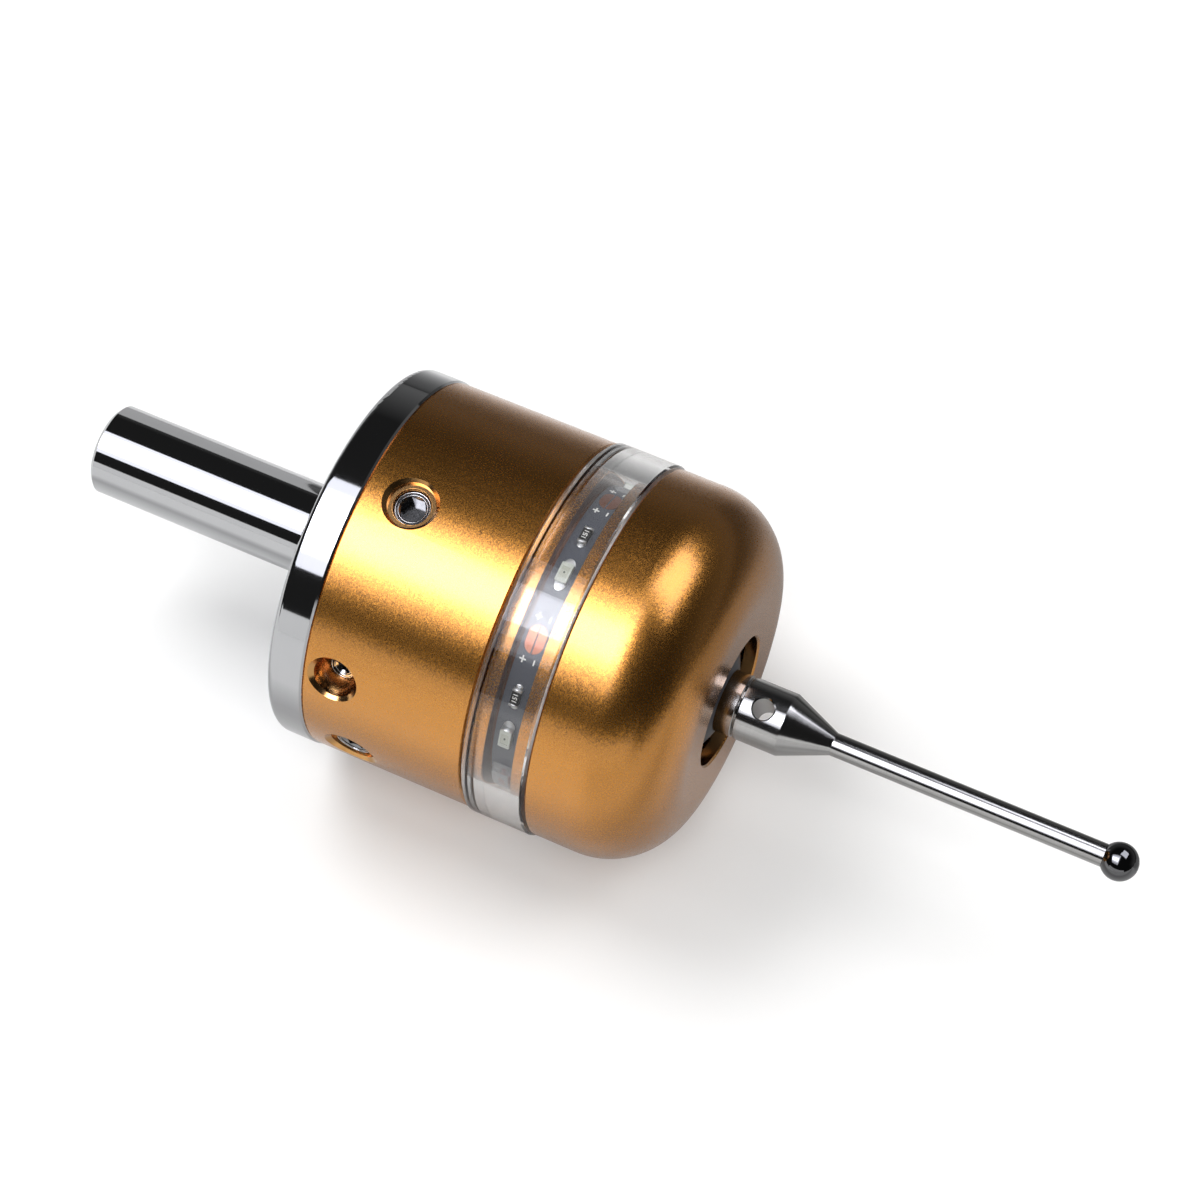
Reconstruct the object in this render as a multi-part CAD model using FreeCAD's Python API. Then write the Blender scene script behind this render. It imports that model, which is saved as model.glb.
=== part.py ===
import FreeCAD
import Part
import math
import os

# Three-dimensional edge finder lying on its side, shank to the left and stylus to the right.
# Millimetres. X runs along the probe, Z is up, and the origin is where the shank leaves its flange.
# Angles round the axis start at +Z and turn towards -Y, the side that faces the viewer.

# Shank and rear flange, turned in one piece
shank_d = 10.0
shank_length = 30.5
shank_chamfer = 0.4
flange_proud = 0.15
flange_thickness = 4.1
flange_rear_round = 0.8
spigot_wall = 2.8
spigot_length = 8.0
cell_pocket_floor = 1.9

# Gold casing
body_d = 41.0
rear_length = 18.2
dome_length = 13.7
dome_round = 8.85
edge_break = 0.2
centring_gap = 0.2
rear_cavity_step = 1.7
front_cavity_step = 3.0
front_plate = 1.5
front_opening_d = 14.4
front_pocket_d = 17.0
front_cavity_straight = 2.4

# Radial screws in the rear casing
screw_turn_deg = 10.8
centring_screw_d = 4.0
centring_screw_count = 4
centring_screw_at = 5.1
centring_screw_depths = (1.5, 0.7, 1.5, 0.7)
centring_bore_d = 5.0
centring_bore_depth = 0.9
centring_rim_d = 6.0
centring_key = 2.5
locking_turn_deg = 68.8
locking_screw_d = 3.0
locking_screw_count = 2
locking_screw_at = 3.3
locking_screw_depth = 2.6
locking_bore_d = 4.6
locking_bore_straight = 1.4
locking_rim_d = 5.6
locking_dimple = 1.3
locking_key = 1.5
key_depth = 1.6
key_mouth = 0.35
screw_clearance = 0.03

# Light ring, its seals and the core that it slides over
ring_proud = 0.25
ring_width = 6.8
ring_wall = 2.8
ring_fit = 0.1
seal_thickness = 0.2
seal_height = 0.7
strip_room = 1.5
core_wall = 1.8
core_fit = 0.05
core_rear_spigot = 5.0
rear_land = 1.8
front_land = 2.1

# Light strip, six equal cells round the core
strip_width = 2.8
strip_thickness = 0.2
strip_lift = 0.02
strip_offset = 0.15
strip_seam_deg = 1.0
full_turn_deg = 360.0
cell_count = 6
pad_turn_deg = 33.8
resistor_turn_deg = 54.5
led_turn_deg = 70.2
feed_turn_deg = 93.8
pad_length = 2.9
pad_width = 2.0
pad_split = 0.16
pad_thickness = 0.05
led_width = 1.25
led_length = 2.0
led_height = 0.65
led_window_width = 0.85
led_window_length = 1.2
led_window_depth = 0.15
led_corner = 0.1
resistor_width = 0.95
resistor_length = 1.8
resistor_height = 0.45
feed_cover_length = 4.4
feed_cover_height = 0.8
feed_cover_inset = 0.2
feed_cover_slope = 0.3
feed_hole_room = 0.6
strip_slot_room = 0.4
wire_d = 0.7
wire_gap = 1.0
wire_bend = 1.2

# Pivoting stylus carrier
pivot_depth = 11.5
tilt_deg = 6.0
plunge = 3.0
hub_ball_d = 13.0
hub_tail_d = 12.0
hub_back = 4.5
hub_bore_d = 6.4
thrust_ball_d = 4.0
drill_half_angle_deg = 60.0
neck_d = 6.8
neck_reach = 1.4
neck_bevel = 0.1
ball_fit = 0.08
pin_d = 1.8
pin_count = 3
pin_back = 3.0
pin_room = 3.2
pin_root = 3.9
pin_turn_deg = 30.0
pin_fit = 0.02
stud_d = 4.0
stud_length = 6.0
stud_hole_extra = 1.0
stud_fit = 0.05

# Stylus
stylus_body_d = 6.8
stylus_body_length = 4.8
stylus_relief_d = 4.8
stylus_relief = 0.22
stylus_cone_length = 5.2
stem_d = 2.45
stylus_reach = 41.3
tip_ball_d = 4.0
tip_spike_d = 1.2
tip_spike_length = 1.6
tip_fit = 0.02
cross_hole_d = 2.25
cross_hole_mouth = 0.16
cross_hole_at = 2.4
cross_hole_turn_deg = 18.0

# Dust shield, a cap round the pivot
shield_thickness = 0.9
shield_gap = 0.8
shield_overlap_deg = 13.0
shield_fit = 0.02

# Insulating seat with its spherical socket
seat_back = 0.5
seat_thickness = 1.9
seat_lip_d = 9.6
seat_hub_d = 14.8
seat_hub_top_d = 12.0

# Contact leaves on the seat
leaf_thickness = 0.2
leaf_width = 2.4
leaf_inset = 0.9
leaf_base = 3.4
leaf_ramp = 3.0
leaf_tip = 2.2
leaf_touch = 0.02
leaf_screw_d = 1.6
leaf_screw_length = 1.4
leaf_head_d = 2.4
leaf_head_height = 0.7
leaf_slot = 0.35

# Spring, its cup, guide and preload plug
guide_clearance = 0.5
guide_flange_thickness = 1.5
guide_flange_fit = 0.1
wire_way = 1.8
wire_channel = 2.4
guide_bore_d = 11.2
guide_notch = 2.6
guide_screw_d = 2.0
guide_screw_head_d = 3.2
guide_screw_length = 4.0
guide_screw_edge = 0.2
guide_screw_count = 3
guide_screw_turn_deg = 150.0
cup_fit = 0.05
cup_recess = 0.2
cup_wall = 1.3
cup_skirt_bore_d = 9.6
push_rod_d = 3.0
plug_thickness = 2.5
plug_inset = 0.5
plug_key = 5.0
plug_key_depth = 1.4
plug_fit = 0.03
spring_mean_d = 7.8
spring_wire_d = 0.7
spring_turns = 3.5
stop_clearance = 0.2

# Power: two coin cells in the flange's pocket and a round board behind the guide
cell_d = 20.0
cell_thickness = 3.2
cell_side_gap = 0.2
cell_edge = 0.25
contact_height = 2.2
contact_strip = 0.2
board_gap = 0.3
board_thickness = 1.2
board_screw_d = 1.6
board_screw_count = 3
board_screw_length = 2.4
board_head_d = 2.8
board_head_height = 0.8
chip_length = 4.9
chip_width = 3.9
chip_height = 1.4
chip_at = 6.0
chip_turn_deg = 60.0
small_part_width = 0.9
small_part_length = 1.6
small_parts_turn_deg = (165, 180, 195, 285, 300)
board_notch_d = 2.4
board_notch_out = 0.2
board_slot = 0.4

# Diameters and radii that follow from the sizes above and their walls and clearances
cell_pocket_r = cell_d / 2 + cell_side_gap
spigot_r = cell_pocket_r + spigot_wall
board_d = 2 * (cell_pocket_r - board_gap)
guide_tube_d = 2 * (cell_pocket_r - wire_way)
board_screw_at = (guide_bore_d + guide_tube_d) / 4
ring_bore_d = body_d - 2 * ring_wall
core_d = ring_bore_d - 2 * strip_room
core_bore_d = core_d - 2 * core_wall
core_rear_bore_d = guide_tube_d + 2 * wire_channel
rear_cavity_d = core_d - 2 * rear_cavity_step
front_cavity_d = core_d - 2 * front_cavity_step
guide_flange_r = core_bore_d / 2 - guide_flange_fit
guide_screw_at = guide_flange_r - guide_screw_edge - guide_screw_head_d / 2
pin_reach = core_bore_d / 2 - pin_room
leaf_at = pin_reach - leaf_inset

# Stations along the axis
x_rear_casing = flange_thickness
x_rear_front = x_rear_casing + rear_length
x_ring_rear = x_rear_front + seal_thickness
x_ring_front = x_ring_rear + ring_width
x_dome_rear = x_ring_front + seal_thickness
x_front_face = x_dome_rear + dome_length
x_pivot = x_front_face - pivot_depth
x_seat_rear = x_pivot + seat_back
x_seat_front = x_seat_rear + seat_thickness
x_core_rear = x_rear_front - core_rear_spigot
x_spigot_front = x_rear_casing + spigot_length
x_pins = x_pivot - pin_back
x_hub_rear = x_pivot - hub_back
swing = math.radians(tilt_deg * math.sqrt(2.0))
pin_sweep = pin_reach * math.sin(swing)
x_guide_front = x_pins - pin_d / 2 - plunge - pin_sweep - guide_clearance
x_guide_shoulder = x_guide_front - guide_flange_thickness
x_cells = cell_pocket_floor
x_board_rear = x_cells + 2 * cell_thickness + contact_height
x_guide_rear = x_board_rear + board_thickness
x_plug_rear = x_guide_rear + plug_inset
x_plug_front = x_plug_rear + plug_thickness
x_cup_front = x_guide_front - cup_recess
x_cup_wall = x_cup_front - cup_wall
x_cup_rear = x_plug_front + plunge + stop_clearance
x_neck_front = x_front_face + neck_reach
x_stylus_body = x_neck_front + stylus_relief
x_cone = x_stylus_body + stylus_body_length
x_stem = x_cone + stylus_cone_length
x_tip = x_neck_front + stylus_reach
x_strip = (x_rear_front + rear_land + x_dome_rear - front_land) / 2 + strip_offset

# Radii that several pieces share
body_r = body_d / 2
casing_bore_r = spigot_r + centring_gap
core_r = core_d / 2
land_r = ring_bore_d / 2 - ring_fit
strip_r = core_r + strip_lift
strip_top_r = strip_r + strip_thickness
hub_ball_r = hub_ball_d / 2
neck_r = neck_d / 2
socket_r = hub_ball_r + ball_fit
opening_corner = math.hypot(front_opening_d / 2, pivot_depth - front_plate)
shield_r = opening_corner - shield_gap
shield_edge = math.atan2(front_opening_d / 2, pivot_depth - front_plate) + math.radians(shield_overlap_deg)
spring_length = x_cup_wall - x_plug_front - 2 * pin_fit
spring_pitch = (spring_length - spring_wire_d) / spring_turns

AXIS = FreeCAD.Vector(1, 0, 0)
UP = FreeCAD.Vector(0, 0, 1)
ORIGIN = FreeCAD.Vector(0, 0, 0)


def point(x, r):
    return FreeCAD.Vector(x, 0, r)


def turned(steps, sweep=full_turn_deg):
    # A closed profile of (x, r) corners, revolved about the axis. A step of four numbers is an arc
    # through its first pair to its second pair.
    corners = [point(*step[-2:]) for step in steps]
    edges = []
    for i, step in enumerate(steps):
        here = corners[i - 1]
        there = corners[i]
        if here.distanceToPoint(there) < 1e-7:
            continue
        if len(step) == 4:
            edges.append(Part.Arc(here, point(*step[:2]), there).toShape())
        else:
            edges.append(Part.makeLine(here, there))
    face = Part.Face(Part.Wire(Part.__sortEdges__(edges)))
    return face.revolve(ORIGIN, AXIS, sweep)


def round_bar(x0, x1, d):
    return Part.makeCylinder(d / 2, x1 - x0, point(x0, 0), AXIS)


def tube(x0, x1, outer_r, inner_r):
    return turned([(x0, inner_r), (x0, outer_r), (x1, outer_r), (x1, inner_r)])


def around(shape, angle):
    # Turns a shape about the axis, from +Z towards -Y.
    placed = shape.copy()
    placed.rotate(ORIGIN, AXIS, angle)
    return placed


def radial_bar(x, r0, r1, d):
    # A round bar that stands up along +Z from radius r0 to r1.
    return Part.makeCylinder(d / 2, r1 - r0, FreeCAD.Vector(x, 0, r0), UP)


def radial_cone(x, r0, r1, d0, d1):
    return Part.makeCone(d0 / 2, d1 / 2, r1 - r0, FreeCAD.Vector(x, 0, r0), UP)


def key_socket(across, depth):
    # A hexagonal key socket that opens upwards at z = 0.
    corner = across / 2 / math.cos(math.radians(30))
    corners = []
    for i in range(7):
        turn = math.radians(60 * i)
        corners.append(FreeCAD.Vector(corner * math.cos(turn), corner * math.sin(turn), -depth))
    face = Part.Face(Part.makePolygon(corners))
    return face.extrude(FreeCAD.Vector(0, 0, depth + 1.0))


def spread(shape, count, first):
    return [around(shape, first + full_turn_deg * i / count) for i in range(count)]


def cut_all(shape, tools):
    for tool in tools:
        shape = shape.cut(tool)
    return shape


def group(solids):
    return Part.makeCompound(solids)


# Shank, flange and the cup-shaped spigot that the cells sit in
def make_shank_flange():
    flange_r = body_r + flange_proud
    r = shank_d / 2
    bend = flange_rear_round
    side = bend * math.sin(math.radians(45))
    body = turned([
        (-shank_length, 0),
        (-shank_length, r - shank_chamfer),
        (-shank_length + shank_chamfer, r),
        (0, r),
        (0, flange_r - bend),
        (bend - side, flange_r - bend + side, bend, flange_r),
        (flange_thickness - edge_break, flange_r),
        (flange_thickness, flange_r - edge_break),
        (flange_thickness, spigot_r),
        (x_spigot_front - edge_break, spigot_r),
        (x_spigot_front, spigot_r - edge_break),
        (x_spigot_front, cell_pocket_r),
        (cell_pocket_floor, cell_pocket_r),
        (cell_pocket_floor, 0),
    ])
    dimple = radial_bar(x_rear_casing + locking_screw_at, spigot_r - locking_dimple, spigot_r + 1,
                        locking_screw_d + 2 * screw_clearance)
    return cut_all(body, spread(dimple, locking_screw_count, locking_turn_deg))


# Rear casing with its threaded, counterbored radial holes
def make_rear_casing():
    body = turned([
        (x_rear_casing, casing_bore_r),
        (x_rear_casing, body_r - edge_break),
        (x_rear_casing + edge_break, body_r),
        (x_rear_front - edge_break, body_r),
        (x_rear_front, body_r - edge_break),
        (x_rear_front, core_r + core_fit),
        (x_core_rear, core_r + core_fit),
        (x_core_rear, rear_cavity_d / 2),
        (x_spigot_front + centring_gap, rear_cavity_d / 2),
        (x_spigot_front + centring_gap, casing_bore_r),
    ])
    x = x_rear_casing + centring_screw_at
    thread = radial_bar(x, casing_bore_r - 1, body_r + 1, centring_screw_d + 2 * screw_clearance)
    bore = radial_bar(x, body_r - centring_bore_depth, body_r + 1, centring_bore_d)
    rim_depth = (centring_rim_d - centring_bore_d) / 2
    rim = radial_cone(x, body_r - rim_depth, body_r + rim_depth, centring_bore_d,
                      centring_rim_d + 2 * rim_depth)
    centring = thread.fuse([bore, rim])
    x = x_rear_casing + locking_screw_at
    thread = radial_bar(x, casing_bore_r - 1, body_r + 1, locking_screw_d + 2 * screw_clearance)
    bore = radial_bar(x, body_r - locking_bore_straight, body_r + 1, locking_bore_d)
    bowl = Part.makeSphere(locking_bore_d / 2, FreeCAD.Vector(x, 0, body_r - locking_bore_straight))
    rim_depth = (locking_rim_d - locking_bore_d) / 2
    rim = radial_cone(x, body_r - rim_depth, body_r + rim_depth, locking_bore_d,
                      locking_rim_d + 2 * rim_depth)
    locking = thread.fuse([bore, bowl, rim])
    body = cut_all(body, spread(centring, centring_screw_count, screw_turn_deg))
    return cut_all(body, spread(locking, locking_screw_count, locking_turn_deg))


def grub_screw(x, r0, r1, d, key):
    bevel = d * 0.08
    bar = radial_bar(x, r0 + bevel, r1 - bevel, d)
    point_end = radial_cone(x, r0, r0 + bevel, d - 2 * bevel, d)
    head_end = radial_cone(x, r1 - bevel, r1, d, d - 2 * bevel)
    socket = key_socket(key, key_depth)
    socket.translate(FreeCAD.Vector(x, 0, r1))
    mouth = radial_cone(x, r1 - key_mouth, r1, key, key + 2 * key_mouth)
    return bar.fuse([point_end, head_end]).removeSplitter().cut(socket).cut(mouth)


def make_centring_screws():
    screws = []
    for i, depth in enumerate(centring_screw_depths):
        screw = grub_screw(x_rear_casing + centring_screw_at, spigot_r, body_r - depth, centring_screw_d,
                           centring_key)
        screws.append(around(screw, screw_turn_deg + full_turn_deg * i / centring_screw_count))
    return group(screws)


def make_locking_screws():
    screw = grub_screw(x_rear_casing + locking_screw_at, spigot_r - locking_dimple,
                       body_r - locking_screw_depth, locking_screw_d, locking_key)
    return group(spread(screw, locking_screw_count, locking_turn_deg))


# Core sleeve: two lands carry the light ring, and the groove between them carries the strip
def make_core_sleeve():
    body = turned([
        (x_core_rear, core_rear_bore_d / 2),
        (x_core_rear, core_r),
        (x_rear_front, core_r),
        (x_rear_front, land_r),
        (x_rear_front + rear_land, land_r),
        (x_rear_front + rear_land, core_r),
        (x_dome_rear - front_land, core_r),
        (x_dome_rear - front_land, land_r),
        (x_dome_rear, land_r),
        (x_dome_rear, core_r),
        (x_seat_rear, core_r),
        (x_seat_rear, core_bore_d / 2),
        (x_guide_shoulder, core_bore_d / 2),
        (x_guide_shoulder, core_rear_bore_d / 2),
    ])
    feed = radial_bar(x_strip, core_bore_d / 2 - 1, core_r + 1, wire_gap + wire_d + feed_hole_room)
    body = body.cut(around(feed, feed_turn_deg))
    return cut_all(body, spread(guide_screw_hole(), guide_screw_count, guide_screw_turn_deg))


def make_ring_seals():
    inner = ring_bore_d / 2
    outer = inner + seal_height
    return group([tube(x_rear_front, x_ring_rear, outer, inner),
                  tube(x_ring_front, x_dome_rear, outer, inner)])


def make_light_ring():
    outer = body_r + ring_proud
    inner = ring_bore_d / 2
    return turned([
        (x_ring_rear, inner),
        (x_ring_rear, outer - edge_break),
        (x_ring_rear + edge_break, outer),
        (x_ring_front - edge_break, outer),
        (x_ring_front, outer - edge_break),
        (x_ring_front, inner),
    ])


# Light strip and what is soldered to it
def make_led_strip():
    x0 = x_strip - strip_width / 2
    x1 = x_strip + strip_width / 2
    band = turned([(x0, strip_r), (x0, strip_top_r), (x1, strip_top_r), (x1, strip_r)],
                  full_turn_deg - strip_seam_deg)
    band = around(band, feed_turn_deg + strip_seam_deg / 2)
    slot = radial_bar(x_strip, strip_r - 1, strip_top_r + 1, wire_gap + wire_d + strip_slot_room)
    return band.cut(around(slot, feed_turn_deg))


def make_solder_pads():
    half = pad_width / 2
    run = pad_length / 2 - half
    base = strip_top_r - 1
    oval = Part.makeBox(pad_width, 2 * run, 3, FreeCAD.Vector(x_strip - half, -run, base))
    for y in (-run, run):
        oval = oval.fuse(Part.makeCylinder(half, 3, FreeCAD.Vector(x_strip, y, base), UP))
    split = Part.makeBox(pad_split, pad_length + 1, 4,
                         FreeCAD.Vector(x_strip - pad_split / 2, -pad_length / 2 - 0.5, base - 0.5))
    skin = tube(x_strip - half - 1, x_strip + half + 1, strip_top_r + pad_thickness, strip_top_r)
    pads = oval.removeSplitter().cut(split).common(skin)
    solids = []
    for i in range(cell_count):
        turn = pad_turn_deg + full_turn_deg * i / cell_count
        if abs(turn - feed_turn_deg) > strip_seam_deg:
            solids += around(pads, turn).Solids
    return group(solids)


def make_leds():
    body = Part.makeBox(led_width, led_length, led_height,
                        FreeCAD.Vector(x_strip - led_width / 2, -led_length / 2, strip_top_r + strip_lift))
    body = body.makeChamfer(led_corner, [e for e in body.Edges if e.BoundBox.ZLength > led_height / 2])
    face_r = strip_top_r + strip_lift + led_height
    window = Part.makeBox(led_window_width, led_window_length, led_height,
                          FreeCAD.Vector(x_strip - led_window_width / 2, -led_window_length / 2,
                                         face_r - led_window_depth))
    return group(spread(body.cut(window), cell_count, led_turn_deg))


def make_resistors():
    body = Part.makeBox(resistor_width, resistor_length, resistor_height,
                        FreeCAD.Vector(x_strip - resistor_width / 2, -resistor_length / 2,
                                       strip_top_r + strip_lift))
    return group(spread(body, cell_count, resistor_turn_deg))


def make_feed_cover():
    x0 = x_strip - strip_width / 2 + feed_cover_inset
    x1 = x_strip + strip_width / 2 - feed_cover_inset
    low = strip_top_r + strip_lift
    high = low + feed_cover_height
    sweep = math.degrees(feed_cover_length / low)
    slope = feed_cover_slope
    cover = turned([(x0, low), (x0 + slope, high), (x1 - slope, high), (x1, low)], sweep)
    cover = around(cover, feed_turn_deg - sweep / 2)
    wires = make_feed_wires()
    return cover.cut(wires)


def feed_wire(side):
    # One lead: off the board, along the guide, through its notch and up to the strip.
    run_r = guide_tube_d / 2 + wire_channel / 2
    x_bend = x_strip - wire_bend
    corner = wire_bend * (1 - math.sin(math.radians(45)))
    path = Part.Wire([
        Part.makeLine(FreeCAD.Vector(x_guide_rear, side, run_r), FreeCAD.Vector(x_bend, side, run_r)),
        Part.Arc(FreeCAD.Vector(x_bend, side, run_r),
                 FreeCAD.Vector(x_strip - corner, side, run_r + corner),
                 FreeCAD.Vector(x_strip, side, run_r + wire_bend)).toShape(),
        Part.makeLine(FreeCAD.Vector(x_strip, side, run_r + wire_bend),
                      FreeCAD.Vector(x_strip, side, strip_top_r + wire_d / 2)),
    ])
    ring = Part.Wire(Part.makeCircle(wire_d / 2, FreeCAD.Vector(x_guide_rear, side, run_r), AXIS))
    return around(path.makePipeShell([ring], True, True), feed_turn_deg)


def make_feed_wires():
    return group([feed_wire(-wire_gap / 2), feed_wire(wire_gap / 2)])


# Domed front casing
def make_front_casing():
    bend = dome_round
    centre_x = x_front_face - bend
    centre_r = body_r - bend
    side = bend * math.sin(math.radians(45))
    pocket_x = x_front_face - front_plate
    return turned([
        (x_dome_rear, core_r + core_fit),
        (x_dome_rear, body_r - edge_break),
        (x_dome_rear + edge_break, body_r),
        (centre_x, body_r),
        (centre_x + side, centre_r + side, x_front_face, centre_r),
        (x_front_face, front_opening_d / 2 + edge_break),
        (x_front_face - edge_break, front_opening_d / 2),
        (pocket_x, front_opening_d / 2),
        (pocket_x, front_pocket_d / 2),
        (x_seat_front + front_cavity_straight, front_cavity_d / 2),
        (x_seat_front, front_cavity_d / 2),
        (x_seat_front, core_r + core_fit),
    ])


# Insulating seat: a plate with a raised spherical socket for the carrier's ball
def make_seat():
    lip_r = seat_lip_d / 2
    x_lip = x_pivot + math.sqrt(socket_r ** 2 - lip_r ** 2)
    rear_r = math.sqrt(socket_r ** 2 - seat_back ** 2)
    middle = (math.asin(lip_r / socket_r) + math.asin(rear_r / socket_r)) / 2
    body = turned([
        (x_seat_rear, rear_r),
        (x_seat_rear, core_r),
        (x_seat_front, core_r),
        (x_seat_front, seat_hub_d / 2),
        (x_lip, seat_hub_top_d / 2),
        (x_lip, lip_r),
        (x_pivot + socket_r * math.cos(middle), socket_r * math.sin(middle), x_seat_rear, rear_r),
    ])
    return cut_all(body, spread(leaf_screw_hole(), pin_count, pin_turn_deg))


# Contact leaves that the pins rest on
def leaf_profile_top():
    return x_pins + pin_d / 2 + leaf_touch


def make_contact_leaves():
    top = leaf_profile_top()
    base = x_seat_rear
    t = leaf_thickness
    y2 = -leaf_tip / 2
    y1 = y2 - leaf_ramp
    y0 = y1 - leaf_base
    line = [(y0, base), (y1, base), (y2, top + t), (leaf_tip / 2, top + t), (leaf_tip, top + 2 * t),
            (leaf_tip, top + t), (leaf_tip / 2, top), (y2, top), (y1, base - t), (y0, base - t)]
    low = leaf_at - leaf_width / 2
    corners = [FreeCAD.Vector(x, y, low) for y, x in line]
    leaf = Part.Face(Part.makePolygon(corners + corners[:1])).extrude(FreeCAD.Vector(0, 0, leaf_width))
    leaf = leaf.cut(leaf_screw_hole())
    return group(spread(leaf, pin_count, pin_turn_deg))


def leaf_screw_y():
    return -leaf_tip / 2 - leaf_ramp - leaf_base * 0.55


def leaf_screw_hole():
    start = FreeCAD.Vector(x_seat_rear - leaf_thickness - 0.5, leaf_screw_y(), leaf_at)
    return Part.makeCylinder(leaf_screw_d / 2 + pin_fit, leaf_screw_length + leaf_thickness + 0.6, start, AXIS)


def make_leaf_screws():
    x_head = x_seat_rear - leaf_thickness
    start = FreeCAD.Vector(x_head, leaf_screw_y(), leaf_at)
    shank = Part.makeCylinder(leaf_screw_d / 2, leaf_screw_length + leaf_thickness, start, AXIS)
    head = Part.makeCylinder(leaf_head_d / 2, leaf_head_height, start, AXIS * -1)
    slot = Part.makeBox(leaf_head_height, leaf_slot, leaf_head_d + 1,
                        FreeCAD.Vector(x_head - 1.5 * leaf_head_height, leaf_screw_y() - leaf_slot / 2,
                                       leaf_at - leaf_head_d / 2 - 0.5))
    screw = shank.fuse(head).cut(slot)
    return group(spread(screw, pin_count, pin_turn_deg))


# Spring guide, a flanged tube that bolts to the core's shoulder
def guide_screw_hole():
    return Part.makeCylinder(guide_screw_d / 2 + pin_fit, guide_screw_length + 0.5,
                             FreeCAD.Vector(x_guide_front + 0.01, 0, guide_screw_at), AXIS * -1)


def guide_screw_sink():
    depth = (guide_screw_head_d - guide_screw_d) / 2
    return Part.makeCone(guide_screw_head_d / 2 + pin_fit, guide_screw_d / 2, depth + pin_fit,
                         FreeCAD.Vector(x_guide_front, 0, guide_screw_at), AXIS * -1)


def make_spring_guide():
    body = turned([
        (x_guide_rear, guide_bore_d / 2),
        (x_guide_rear, guide_tube_d / 2),
        (x_guide_shoulder, guide_tube_d / 2),
        (x_guide_shoulder, guide_flange_r),
        (x_guide_front, guide_flange_r),
        (x_guide_front, guide_bore_d / 2),
    ])
    notch = Part.makeBox(guide_flange_thickness + 2, guide_notch, guide_flange_r,
                         FreeCAD.Vector(x_guide_shoulder - 1, -guide_notch / 2, guide_tube_d / 2 + 0.6))
    body = body.cut(around(notch, feed_turn_deg))
    body = cut_all(body, spread(guide_screw_hole(), guide_screw_count, guide_screw_turn_deg))
    body = cut_all(body, spread(guide_screw_sink(), guide_screw_count, guide_screw_turn_deg))
    return cut_all(body, spread(board_screw_hole(), board_screw_count, 0))


def make_guide_screws():
    depth = (guide_screw_head_d - guide_screw_d) / 2
    start = FreeCAD.Vector(x_guide_front - pin_fit, 0, guide_screw_at)
    head = Part.makeCone(guide_screw_head_d / 2, guide_screw_d / 2, depth, start, AXIS * -1)
    shank = Part.makeCylinder(guide_screw_d / 2, guide_screw_length, start, AXIS * -1)
    socket = key_socket(guide_screw_d * 0.6, depth * 0.8)
    socket.rotate(ORIGIN, FreeCAD.Vector(0, 1, 0), 90)
    socket.translate(start)
    screw = head.fuse(shank).cut(socket)
    return group(spread(screw, guide_screw_count, guide_screw_turn_deg))


def make_push_cup():
    skirt_r = guide_bore_d / 2 - cup_fit
    rod_r = push_rod_d / 2
    return turned([
        (x_cup_wall, 0),
        (x_cup_wall, cup_skirt_bore_d / 2),
        (x_cup_rear, cup_skirt_bore_d / 2),
        (x_cup_rear, skirt_r),
        (x_cup_front - edge_break, skirt_r),
        (x_cup_front, skirt_r - edge_break),
        (x_cup_front, rod_r),
        (x_pivot - thrust_ball_d / 2 - pin_fit - edge_break, rod_r),
        (x_pivot - thrust_ball_d / 2 - pin_fit, rod_r - edge_break),
        (x_pivot - thrust_ball_d / 2 - pin_fit, 0),
    ])


def make_preload_plug():
    plug = round_bar(x_plug_rear, x_plug_front, guide_bore_d - 2 * plug_fit)
    socket = key_socket(plug_key, plug_key_depth)
    socket.rotate(ORIGIN, FreeCAD.Vector(0, 1, 0), -90)
    socket.translate(point(x_plug_rear, 0))
    return plug.cut(socket)


def wire_section(r, place):
    # The round section of the spring's wire at a place on the +X side of its helix, as four arcs.
    across = FreeCAD.Vector(1, 0, 0)
    rise = spring_pitch / (math.pi * spring_mean_d)
    along = FreeCAD.Vector(0, 1, rise).normalize()
    up = across.cross(along)
    rim = []
    for i in range(8):
        turn = math.radians(45 * i)
        rim.append(place + across * (r * math.cos(turn)) + up * (r * math.sin(turn)))
    arcs = [Part.Arc(rim[i], rim[i + 1], rim[(i + 2) % 8]).toShape() for i in (0, 2, 4, 6)]
    return Part.Wire(arcs)


def make_plunge_spring():
    r = spring_wire_d / 2
    helix = Part.makeHelix(spring_pitch, spring_pitch * spring_turns, spring_mean_d / 2)
    section = wire_section(r, FreeCAD.Vector(spring_mean_d / 2, 0, 0))
    coil = Part.Wire(helix).makePipeShell([section], True, True)
    coil.rotate(ORIGIN, FreeCAD.Vector(0, 1, 0), 90)
    coil.translate(point(x_plug_front + pin_fit + r, 0))
    return coil


def make_thrust_ball():
    return Part.makeSphere(thrust_ball_d / 2, point(x_pivot, 0))


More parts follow.
